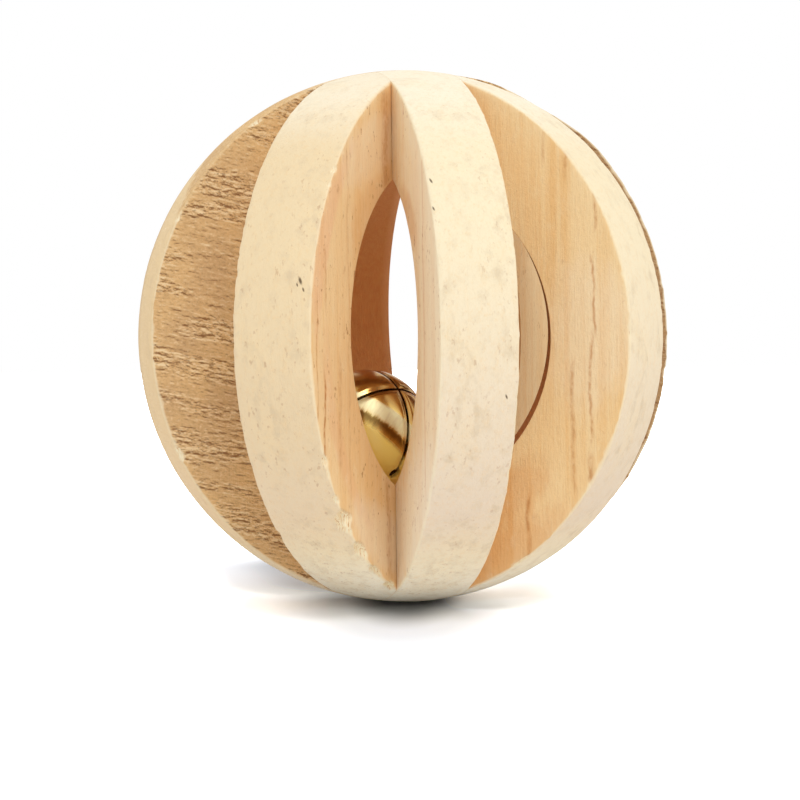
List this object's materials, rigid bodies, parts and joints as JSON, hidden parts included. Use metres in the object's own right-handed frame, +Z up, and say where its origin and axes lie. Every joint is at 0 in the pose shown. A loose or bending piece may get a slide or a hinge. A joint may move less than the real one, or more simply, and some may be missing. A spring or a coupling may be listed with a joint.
{
  "type": "wooden ball with a jingle bell inside",
  "caption": "Turned wooden ball of rings that cross at both poles, open between them like a lantern, with a loose brass jingle bell inside that rattles as the ball rolls.",
  "frame": {"origin": "centre of the turned ball", "axes": "+Z up through the poles where the rings cross, -Y out of the front window, +X to the right of someone who looks in at that window"},
  "size_m": [0.0582, 0.0586, 0.06],
  "materials": {
    "wood": "bare softwood, turned outside and sawn on the flat faces",
    "brass": "polished, lightly tarnished",
    "steel": "plain ball, hidden inside the bell"
  },
  "bodies": {
    "root": {"full_ring": "wood", "front_right_half_ring": "wood", "back_left_half_ring": "wood", "front_left_half_ring": "wood", "right_half_ring": "wood", "back_right_half_ring": "wood", "left_half_ring": "wood", "bell_shell": "brass", "bell_loop": "brass", "bell_pellet": "steel"}
  },
  "joints": []
}
